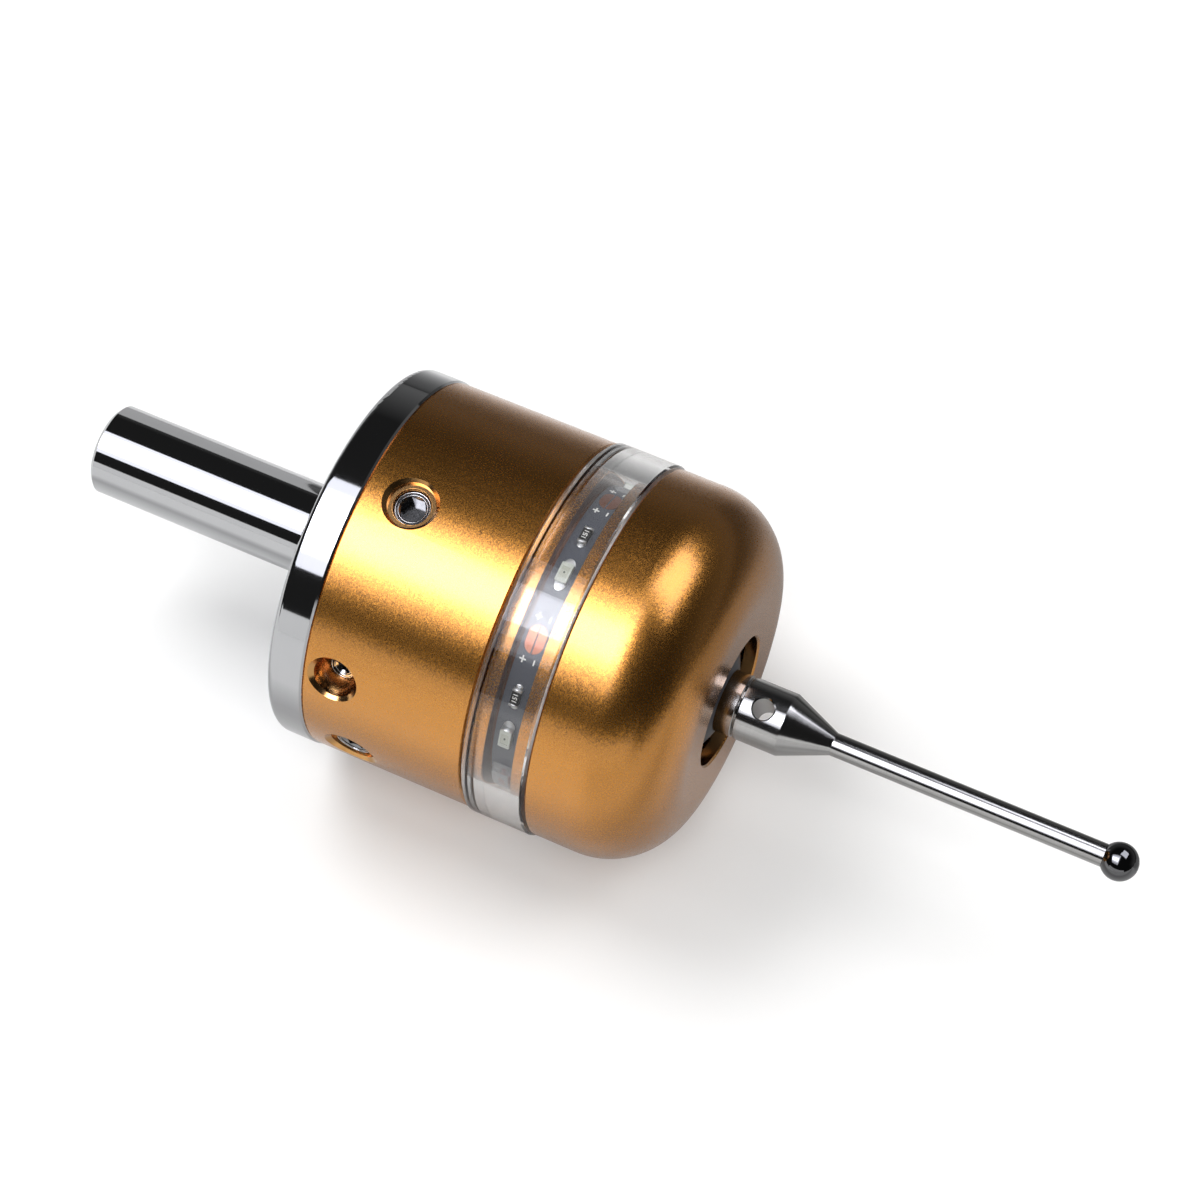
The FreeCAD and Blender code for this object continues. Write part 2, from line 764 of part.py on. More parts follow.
# Stylus carrier: ball, tail and neck turned in one piece
def make_stylus_carrier():
    tail_r = hub_tail_d / 2
    x_tail = x_pivot - math.sqrt(hub_ball_r ** 2 - tail_r ** 2)
    x_neck = x_pivot + math.sqrt(hub_ball_r ** 2 - neck_r ** 2)
    half = math.radians(drill_half_angle_deg)
    apex = x_pivot + thrust_ball_d / 2 / math.sin(half) + pin_fit
    bore_r = hub_bore_d / 2
    bore_end = apex - bore_r / math.tan(half)
    hole_end = x_neck_front - stud_length - stud_hole_extra
    hole_r = stud_d / 2 + stud_fit
    body = turned([
        (apex, 0),
        (bore_end, bore_r),
        (x_hub_rear, bore_r),
        (x_hub_rear, tail_r - edge_break),
        (x_hub_rear + edge_break, tail_r),
        (x_tail, tail_r),
        (x_pivot, hub_ball_r, x_neck, neck_r),
        (x_neck_front - neck_bevel, neck_r),
        (x_neck_front, neck_r - neck_bevel),
        (x_neck_front, hole_r),
        (hole_end, hole_r),
        (hole_end, 0),
    ])
    hole = radial_bar(x_pins, pin_root - 0.3, hub_ball_r + 1, pin_d + 2 * pin_fit)
    return cut_all(body, spread(hole, pin_count, pin_turn_deg))


def make_contact_pins():
    pin = radial_bar(x_pins, pin_root, pin_reach - edge_break, pin_d)
    nose = radial_cone(x_pins, pin_reach - edge_break, pin_reach, pin_d, pin_d - 2 * edge_break)
    return group(spread(pin.fuse(nose), pin_count, pin_turn_deg))


def make_dust_shield():
    outer = shield_r
    inner = shield_r - shield_thickness
    bore_r = neck_r + shield_fit
    bore_outer = math.asin(bore_r / outer)
    bore_inner = math.asin(bore_r / inner)
    middle = (shield_edge + bore_outer) / 2
    return turned([
        (x_pivot + inner * math.cos(shield_edge), inner * math.sin(shield_edge)),
        (x_pivot + outer * math.cos(shield_edge), outer * math.sin(shield_edge)),
        (x_pivot + outer * math.cos(middle), outer * math.sin(middle),
         x_pivot + outer * math.cos(bore_outer), bore_r),
        (x_pivot + inner * math.cos(bore_inner), bore_r),
        (x_pivot + inner * math.cos(middle), inner * math.sin(middle),
         x_pivot + inner * math.cos(shield_edge), inner * math.sin(shield_edge)),
    ])


# The curved edges where the cross hole leaves the stylus body
def is_hole_mouth(edge):
    box = edge.BoundBox
    middle = (box.XMin + box.XMax) / 2
    at_hole = abs(middle - x_stylus_body - cross_hole_at) < cross_hole_d / 4
    return at_hole and box.XLength > cross_hole_d / 3 and box.XLength < cross_hole_d * 1.1


# Stylus: threaded stud, body with its cross hole, cone and stem
def make_stylus():
    stem_r = stem_d / 2
    spike_r = tip_spike_d / 2 - tip_fit
    x_meet = x_tip - math.sqrt((tip_ball_d / 2) ** 2 - stem_r ** 2)
    body = turned([
        (x_neck_front - stud_length, 0),
        (x_neck_front - stud_length, stud_d / 2 - edge_break),
        (x_neck_front - stud_length + edge_break, stud_d / 2),
        (x_neck_front, stud_d / 2),
        (x_neck_front, stylus_relief_d / 2),
        (x_stylus_body, stylus_relief_d / 2),
        (x_stylus_body, stylus_body_d / 2 - edge_break / 2),
        (x_stylus_body + edge_break / 2, stylus_body_d / 2),
        (x_cone, stylus_body_d / 2),
        (x_stem, stem_r),
        (x_meet, stem_r),
        (x_meet, 0),
    ])
    body = body.cut(Part.makeSphere(tip_ball_d / 2 + tip_fit, point(x_tip, 0)))
    spike_end = x_tip - tip_ball_d / 2 + tip_spike_length - tip_fit
    body = body.fuse(round_bar(x_meet - tip_ball_d / 2, spike_end, 2 * spike_r))
    hole = Part.makeCylinder(cross_hole_d / 2, stylus_body_d + 2,
                             FreeCAD.Vector(x_stylus_body + cross_hole_at, 0, -stylus_body_d / 2 - 1), UP)
    drilled = body.cut(around(hole, cross_hole_turn_deg))
    mouths = [e for e in drilled.Edges if is_hole_mouth(e)]
    return drilled.makeChamfer(cross_hole_mouth, mouths)


def make_tip_ball():
    ball = Part.makeSphere(tip_ball_d / 2, point(x_tip, 0))
    start = x_tip - tip_ball_d / 2 - 1
    return ball.cut(round_bar(start, start + 1 + tip_spike_length, tip_spike_d))


# Coin cells, their contact and the round board
def make_coin_cells():
    solids = []
    for i in range(2):
        x0 = x_cells + i * cell_thickness
        x1 = x0 + cell_thickness
        r = cell_d / 2
        solids.append(turned([
            (x0, 0),
            (x0, r - 4 * cell_edge),
            (x0 + 2 * cell_edge, r - 4 * cell_edge),
            (x0 + 3 * cell_edge, r),
            (x1 - cell_edge, r),
            (x1, r - cell_edge),
            (x1, 0),
        ]))
    return group(solids)


def make_cell_contact():
    t = contact_strip
    high = x_board_rear
    low = high - contact_height
    line = [(-3.2, high), (-3.2, high - t), (-1.8, high - t), (-0.6, low), (1.4, low), (2.2, low + 3 * t),
            (2.1, low + 4 * t), (1.3, low + t), (-0.5, low + t), (-1.7, high)]
    corners = [FreeCAD.Vector(x, y, -1.5) for y, x in line]
    return Part.Face(Part.makePolygon(corners + corners[:1])).extrude(FreeCAD.Vector(0, 0, 3.0))


def board_screw_hole():
    length = board_thickness + board_screw_length
    return Part.makeCylinder(board_screw_d / 2 + pin_fit, length,
                             FreeCAD.Vector(x_board_rear - 0.1, 0, board_screw_at), AXIS)


def make_board():
    disc = round_bar(x_board_rear, x_guide_rear, board_d)
    disc = cut_all(disc, spread(board_screw_hole(), board_screw_count, 0))
    relief = Part.makeCylinder(board_notch_d / 2, board_thickness + 1,
                               FreeCAD.Vector(x_board_rear - 0.5, 0, board_d / 2 + board_notch_out), AXIS)
    return disc.cut(around(relief, feed_turn_deg + 180))


def make_board_screws():
    start = FreeCAD.Vector(x_board_rear, 0, board_screw_at)
    shank = Part.makeCylinder(board_screw_d / 2, board_thickness + board_screw_length - 0.6, start, AXIS)
    head = Part.makeCylinder(board_head_d / 2, board_head_height, start, AXIS * -1)
    slot = Part.makeBox(board_slot, board_head_d + 1, board_slot,
                        FreeCAD.Vector(x_board_rear - board_head_height, -board_head_d / 2 - 0.5,
                                       board_screw_at - board_slot / 2))
    return group(spread(shank.fuse(head).cut(slot), board_screw_count, 0))


def make_board_parts():
    chip = Part.makeBox(chip_height, chip_length, chip_width,
                        FreeCAD.Vector(x_board_rear - chip_height, -chip_length / 2, chip_at - chip_width / 2))
    chip = around(chip, chip_turn_deg)
    thick = small_part_width
    small = Part.makeBox(thick, small_part_length, thick,
                         FreeCAD.Vector(x_board_rear - thick, -small_part_length / 2, chip_at))
    return group([chip] + [around(small, turn) for turn in small_parts_turn_deg])


NODES = {
    "shank_flange": make_shank_flange,
    "rear_casing": make_rear_casing,
    "centring_screws": make_centring_screws,
    "locking_screws": make_locking_screws,
    "core_sleeve": make_core_sleeve,
    "ring_seals": make_ring_seals,
    "light_ring": make_light_ring,
    "led_strip": make_led_strip,
    "solder_pads": make_solder_pads,
    "leds": make_leds,
    "resistors": make_resistors,
    "feed_cover": make_feed_cover,
    "feed_wires": make_feed_wires,
    "front_casing": make_front_casing,
    "seat": make_seat,
    "contact_leaves": make_contact_leaves,
    "leaf_screws": make_leaf_screws,
    "spring_guide": make_spring_guide,
    "guide_screws": make_guide_screws,
    "push_cup": make_push_cup,
    "preload_plug": make_preload_plug,
    "plunge_spring": make_plunge_spring,
    "thrust_ball": make_thrust_ball,
    "stylus_carrier": make_stylus_carrier,
    "contact_pins": make_contact_pins,
    "dust_shield": make_dust_shield,
    "stylus": make_stylus,
    "tip_ball": make_tip_ball,
    "coin_cells": make_coin_cells,
    "cell_contact": make_cell_contact,
    "board": make_board,
    "board_screws": make_board_screws,
    "board_parts": make_board_parts,
}

os.makedirs("parts", exist_ok=True)
for name, make in NODES.items():
    shape = make()
    if not shape.isValid():
        print("not valid:", name)
    print(name, len(shape.Solids), round(sum(s.Volume for s in shape.Solids), 2))
    shape.exportStep("parts/" + name + ".step")
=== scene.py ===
import math
import bmesh
import bpy
from mathutils import Matrix, Vector


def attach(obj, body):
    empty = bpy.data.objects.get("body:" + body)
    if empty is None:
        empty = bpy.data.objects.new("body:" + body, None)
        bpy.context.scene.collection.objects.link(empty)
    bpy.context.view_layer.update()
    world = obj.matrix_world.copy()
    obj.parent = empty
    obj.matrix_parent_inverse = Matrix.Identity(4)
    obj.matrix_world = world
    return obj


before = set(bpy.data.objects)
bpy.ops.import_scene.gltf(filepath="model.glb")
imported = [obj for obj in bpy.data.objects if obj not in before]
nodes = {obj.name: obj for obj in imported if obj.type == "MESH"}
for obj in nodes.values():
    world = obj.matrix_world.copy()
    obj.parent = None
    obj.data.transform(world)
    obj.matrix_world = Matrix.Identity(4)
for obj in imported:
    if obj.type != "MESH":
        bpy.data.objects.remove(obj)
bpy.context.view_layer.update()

mm = 0.001
print("frame loaded with", len(nodes), "nodes")


class Wire:
    # A node socket that works in sums: 1 - mask * 0.5 adds the Math nodes that it needs.
    def __init__(self, tree, socket=None):
        self.tree = tree
        self.socket = socket

    def node(self, kind, settings=(), inputs=(), out=0):
        made = self.tree.nodes.new("ShaderNode" + kind)
        for name, value in dict(settings).items():
            setattr(made, name, value)
        for key, value in dict(inputs).items():
            if isinstance(value, Wire):
                self.tree.links.new(value.socket, made.inputs[key])
            else:
                made.inputs[key].default_value = value
        return Wire(self.tree, made.outputs[out] if len(made.outputs) else None)

    def maths(self, operation, first, second=0.0):
        return self.node("Math", {"operation": operation}, {0: first, 1: second})

    def __add__(self, other):
        return self.maths("ADD", self, other)

    def __radd__(self, other):
        return self.maths("ADD", other, self)

    def __sub__(self, other):
        return self.maths("SUBTRACT", self, other)

    def __rsub__(self, other):
        return self.maths("SUBTRACT", other, self)

    def __mul__(self, other):
        return self.maths("MULTIPLY", self, other)

    def __rmul__(self, other):
        return self.maths("MULTIPLY", other, self)

    def __truediv__(self, other):
        return self.maths("DIVIDE", self, other)

    def __rtruediv__(self, other):
        return self.maths("DIVIDE", other, self)

    def __pow__(self, other):
        return self.maths("POWER", self, other)

    def limit(self):
        return self.node("Clamp", {}, {0: self})

    def most(self, other):
        return self.maths("MAXIMUM", self, other)

    def below(self, edge, soft):
        # 1 where the value is under the edge, 0 above it, with a soft step between.
        return ((edge - self) / soft + 0.5).limit()


def startMaterial(name):
    made = bpy.data.materials.new(name)
    made.use_nodes = True
    made.node_tree.nodes.clear()
    return made, Wire(made.node_tree)


def readPlace(w):
    return w.node("TexCoord", {}, {}, "Object")


def splitAxes(w, vector):
    return [w.node("SeparateXYZ", {}, {0: vector}, axis) for axis in range(3)]


def readRound(w, place):
    # x along the probe and the radius from its axis.
    x, y, z = splitAxes(w, place)
    return x, (y * y + z * z) ** 0.5


def readAngle(w, place):
    # Angle round the axis, from +Z towards -Y, which is the camera's side.
    y, z = splitAxes(w, place)[1:]
    return w.maths("ARCTAN2", y * -1, z)


def speckle(w, place, size, detail=2.0, roughness=0.5):
    return w.node("TexNoise", {"noise_dimensions": "3D"},
                  {"Vector": place, "Scale": 1 / size, "Detail": detail, "Roughness": roughness})


def turnedLines(w, x, radius, pitch, detail=3.0, roughness=0.6):
    # Tool marks that run round the axis: they change only along it and with the radius.
    across = w.node("CombineXYZ", {}, {"X": x, "Y": radius})
    return w.node("TexNoise", {"noise_dimensions": "2D"},
                  {"Vector": across, "Scale": 1 / pitch, "Detail": detail, "Roughness": roughness})


def blendColour(w, amount, first, second):
    return w.node("Mix", {"data_type": "RGBA"}, {0: amount, 6: first, 7: second}, 2)


def blendTwo(w, one, other, mix, first, second):
    # Two patterns together bring in the second colour, each with its own share.
    amount = (one * mix[0] + other * mix[1]).limit()
    return blendColour(w, amount, first, second)


def bumpFrom(w, height, strength, distance, under=None):
    inputs = {"Height": height, "Strength": strength, "Distance": distance}
    if under is not None:
        inputs["Normal"] = under
    return w.node("Bump", {}, inputs)


def closeMaterial(w, shader):
    w.node("OutputMaterial", {}, {"Surface": shader})


def rgb(red, green, blue):
    return (red, green, blue, 1.0)


chromeLook = {
    "colour": rgb(0.66, 0.665, 0.675),
    "shade": rgb(0.58, 0.585, 0.60),
    "mix": (0.7, 0.3),  # how much smudges and lines bring in the shade
    "roughness": 0.035,
    "linePitch": 0.00009,
    "lineDepth": 0.0000012,
    "lineBump": 0.10,
    "lineRough": 0.03,
    "smudgeSize": 0.006,
    "smudgeRough": 0.02,
    "smudgeBump": 0.1,
    "turnedFrom": (0.00412, 0.00005),  # past here the spigot is only turned: edge and softness
    "turnedRough": 0.16,
}


def chromeMaterial():
    made, w = startMaterial("ground chromed steel")
    look = chromeLook
    place = readPlace(w)
    x, radius = readRound(w, place)
    lines = turnedLines(w, x, radius, look["linePitch"])
    smudge = speckle(w, place, look["smudgeSize"], detail=3.0)
    turned = 1 - x.below(*look["turnedFrom"])
    colour = blendTwo(w, smudge, lines, look["mix"], look["colour"], look["shade"])
    roughness = (look["roughness"] + lines * look["lineRough"] + smudge * look["smudgeRough"]
                 + turned * look["turnedRough"])
    normal = bumpFrom(w, lines + smudge * look["smudgeBump"], look["lineBump"], look["lineDepth"])
    closeMaterial(w, w.node("BsdfPrincipled", {}, {
        "Base Color": colour, "Metallic": 1.0, "Roughness": roughness, "Normal": normal}))
    return made


goldLook = {
    "colour": rgb(0.76, 0.322, 0.044),
    "deep": rgb(0.68, 0.276, 0.034),
    # painted shade in the bowls of the locking screw holes
    "bowl": rgb(0.36, 0.155, 0.035),
    "machined": rgb(0.72, 0.37, 0.10),
    # painted shade in the strip's groove under the ring
    "slot": rgb(0.13, 0.045, 0.018),
    "mix": (0.6, 0.5),  # how much clouds and grain bring in the plain colour
    "cutMix": 0.3,
    "roughness": 0.265,
    "machinedRoughness": 0.14,
    "grainRough": 0.10,
    "slotRough": 0.25,
    "cloud": 0.004,
    "grain": 0.00016,
    "dent": 0.00010,  # size of one blasted dent
    "lean": 0.08,  # how far the dents lean each way
    "linePitch": 0.00011,
    "lineRough": 0.08,
    "lineBump": (0.05, 0.00002),
    "slotBelow": (0.01745, 0.0001),  # radius under which the strip's groove lies, and softness
    "openingBelow": (0.00722, 0.00003),  # the same of the front opening's wall
    "skinBelow": (0.02049, 0.00002),  # the casing's skin, which the screw holes go down from
    "rimSoft": 0.00004,
    "coat": {"Coat Weight": 1.0, "Coat Roughness": 0.22, "Coat IOR": 1.56},
}

# Rings round the screw holes: place along x, inner and outer radius, first angle, number round the casing.
machinedRims = [
    (0.0092, 0.0, 0.00306, 10.8, 4),
    (0.0074, 0.00226, 0.00286, 68.8, 2),
]
# Bowls of the locking screw holes, darkened with painted shade: place along x, inner and outer radius,
# first angle, number round the casing.
bowls = [(0.0074, 0.0, 0.00226, 68.8, 2)]


def rimMask(w, x, radius, angle, rims):
    # 1 inside the given rings and under the casing's skin.
    soft = goldLook["rimSoft"]
    mask = None
    for holeX, inner, outer, first, count in rims:
        step = 2 * math.pi / count
        turns = (angle - math.radians(first)) / step
        off = (turns - w.maths("ROUND", turns)) * step
        side = radius * w.maths("SINE", off)
        along = x - holeX
        reach = (side * side + along * along) ** 0.5
        inRim = reach.below(outer, soft) * (1 - reach.below(inner, soft))
        rim = inRim * radius.below(*goldLook["skinBelow"])
        mask = rim if mask is None else mask.most(rim)
    return mask


def blastedNormal(w, place, amount):
    # Every dent leans its own way, and the ones that catch a lamp sparkle.
    dent = w.node("TexVoronoi", {"voronoi_dimensions": "3D"},
                  {"Vector": place, "Scale": 1 / goldLook["dent"]}, "Color")
    lean = w.node("VectorMath", {"operation": "SUBTRACT"}, {0: dent, 1: (0.5, 0.5, 0.5)})
    lean = w.node("VectorMath", {"operation": "SCALE"}, {0: lean, "Scale": amount * goldLook["lean"]})
    facing = w.node("NewGeometry", {}, {}, "Normal")
    leaning = w.node("VectorMath", {"operation": "ADD"}, {0: facing, 1: lean})
    return w.node("VectorMath", {"operation": "NORMALIZE"}, {0: leaning})


def goldMaterial(name, kind):
    # kind is "casing" for the two blasted casings, whose holes and opening are machined and whose screw
    # hole bowls are darkened with painted shade, "core" for the sleeve under the ring, whose groove is
    # darkened with painted shade, and "cut" for a bare machined surface.
    made, w = startMaterial(name)
    look = goldLook
    place = readPlace(w)
    x, radius = readRound(w, place)
    cloud = speckle(w, place, look["cloud"], detail=3.0)
    grain = speckle(w, place, look["grain"])
    lines = turnedLines(w, x, radius, look["linePitch"])
    blasted = blendTwo(w, cloud, grain, look["mix"], look["deep"], look["colour"])
    blastedRough = look["roughness"] + (grain - 0.5) * look["grainRough"]
    machinedRough = look["machinedRoughness"] + lines * look["lineRough"]
    if kind == "casing":
        angle = readAngle(w, place)
        opening = radius.below(*look["openingBelow"])
        machined = rimMask(w, x, radius, angle, machinedRims).most(opening)
        # The bowls of the locking screw holes get a darker colour: painted shade.
        bowl = rimMask(w, x, radius, angle, bowls)
        colour = blendColour(w, bowl, blendColour(w, machined, blasted, look["machined"]), look["bowl"])
        roughness = blastedRough * (1 - machined) + machinedRough * machined
        normal = bumpFrom(w, lines * machined, *look["lineBump"], blastedNormal(w, place, 1 - machined))
    elif kind == "core":
        # The strip's groove under the ring is darkened: painted shade.
        slot = radius.below(*look["slotBelow"])
        colour = blendColour(w, slot, blasted, look["slot"])
        roughness = blastedRough + slot * look["slotRough"]
        normal = blastedNormal(w, place, 1 - slot)
    else:
        colour = blendColour(w, grain * look["cutMix"], look["machined"], look["deep"])
        roughness = machinedRough
        normal = bumpFrom(w, lines, *look["lineBump"])
    closeMaterial(w, w.node("BsdfPrincipled", {}, {
        "Base Color": colour, "Metallic": 1.0, "Roughness": roughness, "Normal": normal, **look["coat"]}))
    return made


clearLook = {
    "colour": rgb(0.985, 0.985, 0.98),
    "through": rgb(0.94, 0.94, 0.93),
    "roughness": 0.004,
    "wearRough": 0.006,
    "wearSize": 0.0012,
    "wearBump": 0.3,
    "endRoughness": 0.32,
    "ends": (0.02253, 0.02927),  # the turned ends lie before the first and past the second place along x
    "endSoft": 0.00004,
    "linePitch": 0.00020,
    "lineBump": (0.02, 0.000003),
    "ior": 1.49,
}


def lightPath(w, name):
    return w.node("LightPath", {}, {}, name)


def clearMaterial():
    # Clear ring with turned ends. Light on its way to or from the strip passes straight through, so
    # the ring throws no dark shadow on it.
    made, w = startMaterial("clear acrylic")
    look = clearLook
    place = readPlace(w)
    x, radius = readRound(w, place)
    rear, front = look["ends"]
    ends = x.below(rear, look["endSoft"]).most(1 - x.below(front, look["endSoft"]))
    wear = speckle(w, place, look["wearSize"], detail=4.0, roughness=0.7)
    lines = turnedLines(w, x, radius, look["linePitch"])
    roughness = look["roughness"] + wear * look["wearRough"] + ends * look["endRoughness"]
    normal = bumpFrom(w, lines + wear * look["wearBump"], *look["lineBump"])
    glass = w.node("BsdfPrincipled", {}, {
        "Base Color": look["colour"], "Roughness": roughness, "Normal": normal,
        "IOR": look["ior"], "Transmission Weight": 1.0})
    through = w.node("BsdfTransparent", {}, {"Color": look["through"]})
    lamp = lightPath(w, "Is Shadow Ray").most(lightPath(w, "Is Diffuse Ray"))
    closeMaterial(w, w.node("MixShader", {}, {0: lamp, 1: glass, 2: through}))
    return made


plainBase = {"grain": 0.0002, "cloud": 0.002, "mix": (0.6, 0.6), "less": 0.1, "spread": 0.12,
             "bump": 0.15, "depth": 0.00001, "metal": 0.0, "coat": 0.0, "coatRough": 0.12,
             "clear": 0.0, "ior": 1.5}


def plainMaterial(name, settings):
    # Paint, plastic, rubber and plated parts: a colour with its fleck, a roughness and a bump.
    made, w = startMaterial(name)
    look = {**plainBase, **settings}
    place = readPlace(w)
    fleck = speckle(w, place, look["grain"], detail=3.0, roughness=0.6)
    cloud = speckle(w, place, look["cloud"])
    amount = fleck * look["mix"][0] + cloud * look["mix"][1] - look["less"]
    colour = blendColour(w, amount.limit(), look["colour"], look["fleck"])
    roughness = look["roughness"] + (fleck - 0.5) * look["spread"]
    normal = bumpFrom(w, fleck, look["bump"], look["depth"])
    closeMaterial(w, w.node("BsdfPrincipled", {}, {
        "Base Color": colour, "Metallic": look["metal"], "Roughness": roughness, "Normal": normal,
        "Coat Weight": look["coat"], "Coat Roughness": look["coatRough"],
        "Transmission Weight": look["clear"], "IOR": look["ior"]}))
    return made


turnedBase = {"pitch": 0.00008, "lineRough": 0.06, "cloud": 0.002, "cloudRough": 0.03, "cloudBump": 0.2,
              "mix": (0.6, 0.5), "bump": 0.1, "depth": 0.000003}


def turnedMaterial(name, settings):
    # Lathe-turned metal with fine marks round the axis.
    made, w = startMaterial(name)
    look = {**turnedBase, **settings}
    place = readPlace(w)
    x, radius = readRound(w, place)
    lines = turnedLines(w, x, radius, look["pitch"])
    cloud = speckle(w, place, look["cloud"], detail=3.0)
    colour = blendTwo(w, lines, cloud, look["mix"], look["colour"], look["shade"])
    roughness = look["roughness"] + lines * look["lineRough"] + cloud * look["cloudRough"]
    normal = bumpFrom(w, lines + cloud * look["cloudBump"], look["bump"], look["depth"])
    closeMaterial(w, w.node("BsdfPrincipled", {}, {
        "Base Color": colour, "Metallic": 1.0, "Roughness": roughness, "Normal": normal}))
    return made


looks = {
    "strip coating": {"colour": rgb(0.062, 0.069, 0.092), "fleck": rgb(0.078, 0.086, 0.112),
                      "roughness": 0.30, "coat": 0.25, "grain": 0.00012},
    "strip ink": {"colour": rgb(0.85, 0.86, 0.86), "fleck": rgb(0.72, 0.73, 0.74), "roughness": 0.5},
    "bare copper": {"colour": rgb(0.52, 0.20, 0.115), "fleck": rgb(0.40, 0.14, 0.08), "roughness": 0.30,
                    "metal": 0.85, "grain": 0.0001},
    "led case": {"colour": rgb(0.62, 0.65, 0.61), "fleck": rgb(0.46, 0.50, 0.46), "roughness": 0.28,
                 "coat": 0.3, "grain": 0.0003},
    "led gel": {"colour": rgb(0.58, 0.60, 0.54), "fleck": rgb(0.42, 0.45, 0.40), "roughness": 0.12,
                "coat": 0.6, "grain": 0.0004, "bump": 0.4, "depth": 0.00004},
    "led chip": {"colour": rgb(0.10, 0.12, 0.10), "fleck": rgb(0.06, 0.08, 0.06), "roughness": 0.25},
    "solder": {"colour": rgb(0.72, 0.73, 0.73), "fleck": rgb(0.52, 0.53, 0.53), "roughness": 0.38,
               "metal": 0.8, "bump": 0.3},
    "resistor body": {"colour": rgb(0.006, 0.006, 0.007), "fleck": rgb(0.015, 0.015, 0.016),
                      "roughness": 0.5, "ior": 1.2},
    "seal rubber": {"colour": rgb(0.050, 0.016, 0.010), "fleck": rgb(0.080, 0.028, 0.018),
                    "roughness": 0.55},
    "clear glue": {"colour": rgb(0.78, 0.80, 0.83), "fleck": rgb(0.66, 0.68, 0.71), "roughness": 0.20,
                   "grain": 0.0006, "bump": 0.4, "depth": 0.00005, "clear": 0.72, "ior": 1.34},
    "wire sleeve": {"colour": rgb(0.42, 0.02, 0.015), "fleck": rgb(0.32, 0.015, 0.01), "roughness": 0.4},
    "seat plastic": {"colour": rgb(0.022, 0.022, 0.025), "fleck": rgb(0.04, 0.04, 0.045), "roughness": 0.5},
    "shield plastic": {"colour": rgb(0.030, 0.030, 0.036), "fleck": rgb(0.050, 0.050, 0.058),
                       "roughness": 0.42, "grain": 0.00015},
    "spring bronze": {"colour": rgb(0.60, 0.36, 0.14), "fleck": rgb(0.48, 0.27, 0.10), "roughness": 0.28,
                      "metal": 1.0},
    "drawn wire": {"colour": rgb(0.40, 0.40, 0.42), "fleck": rgb(0.30, 0.30, 0.32), "roughness": 0.3,
                   "metal": 1.0},
    "nickel plate": {"colour": rgb(0.62, 0.61, 0.58), "fleck": rgb(0.52, 0.51, 0.48), "roughness": 0.26,
                     "metal": 1.0},
    "board coating": {"colour": rgb(0.010, 0.085, 0.030), "fleck": rgb(0.016, 0.12, 0.045),
                      "roughness": 0.28, "coat": 0.4},
    # brighter than the screw steel: paints the highlight on the screws' rounded edges
    "rim highlight steel": {"colour": rgb(0.78, 0.78, 0.78), "fleck": rgb(0.62, 0.62, 0.62), "roughness": 0.16,
                   "metal": 1.0, "grain": 0.0004, "bump": 0.1},
    "screw steel": {"colour": rgb(0.36, 0.36, 0.36), "fleck": rgb(0.24, 0.24, 0.25), "roughness": 0.16,
                    "metal": 1.0, "grain": 0.0004, "bump": 0.2, "depth": 0.00002},
}

turnedLooks = {
    "turned steel": {"colour": rgb(0.50, 0.50, 0.50), "shade": rgb(0.42, 0.42, 0.42), "roughness": 0.22},
    "brushed neck": {"colour": rgb(0.56, 0.54, 0.515), "shade": rgb(0.44, 0.42, 0.395),
                     "roughness": 0.10, "lineRough": 0.09, "bump": 0.4, "pitch": 0.00007},
    "stylus steel": {"colour": rgb(0.60, 0.595, 0.585), "shade": rgb(0.48, 0.475, 0.465),
                     "roughness": 0.09, "lineRough": 0.07, "bump": 0.16},
    "black ceramic": {"colour": rgb(0.20, 0.20, 0.205), "shade": rgb(0.17, 0.17, 0.175),
                      "roughness": 0.045, "lineRough": 0.01, "bump": 0.01},
}

materials = {name: plainMaterial(name, look) for name, look in looks.items()}
materials.update({name: turnedMaterial(name, look) for name, look in turnedLooks.items()})
materials["chrome"] = chromeMaterial()
materials["gold"] = goldMaterial("bead-blasted gold", "casing")
materials["core gold"] = goldMaterial("gold under the ring", "core")
materials["cut gold"] = goldMaterial("machined gold", "cut")
materials["clear"] = clearMaterial()

finishes = {
    "shank_flange": "chrome", "rear_casing": "gold", "front_casing": "gold", "core_sleeve": "core gold",
    "centring_screws": "screw steel", "locking_screws": "screw steel", "guide_screws": "screw steel",
    "ring_seals": "seal rubber", "light_ring": "clear", "led_strip": "strip coating",
    "solder_pads": "bare copper", "leds": "led case", "resistors": "resistor body",
    "feed_cover": "clear glue", "feed_wires": "wire sleeve", "seat": "seat plastic",
    "contact_leaves": "spring bronze", "leaf_screws": "turned steel", "spring_guide": "turned steel",
    "push_cup": "turned steel", "preload_plug": "turned steel", "plunge_spring": "drawn wire",
    "thrust_ball": "stylus steel", "stylus_carrier": "brushed neck", "contact_pins": "turned steel",
    "dust_shield": "shield plastic", "stylus": "stylus steel", "tip_ball": "black ceramic",
    "coin_cells": "nickel plate", "cell_contact": "spring bronze", "board": "board coating",
    "board_screws": "turned steel", "board_parts": "resistor body",
}
for name, finish in finishes.items():
    for place in nodes[name].material_slots:
        place.material = materials[finish]
print("finishes on", len(finishes), "nodes")

strip = {
    "x": 25.9 * mm,
    "top": 16.42 * mm,  # radius of the strip's face
    "padTurn": 33.8,  # angles round the axis in degrees, of the first cell and of the feed
    "resistorTurn": 54.5,
    "ledTurn": 70.2,
    "feedTurn": 93.8,
    "cells": 6,
}


def cellTurns(first):
    return [first + 360 / strip["cells"] * i for i in range(strip["cells"])]


def onStrip(turn, along=0.0, lift=0.0):
    # Stands a piece on the strip's face: its y runs round the axis and its z outwards.
    return (Matrix.Rotation(math.radians(turn), 4, "X")
            @ Matrix.Translation((strip["x"] + along, 0, strip["top"] + lift)))


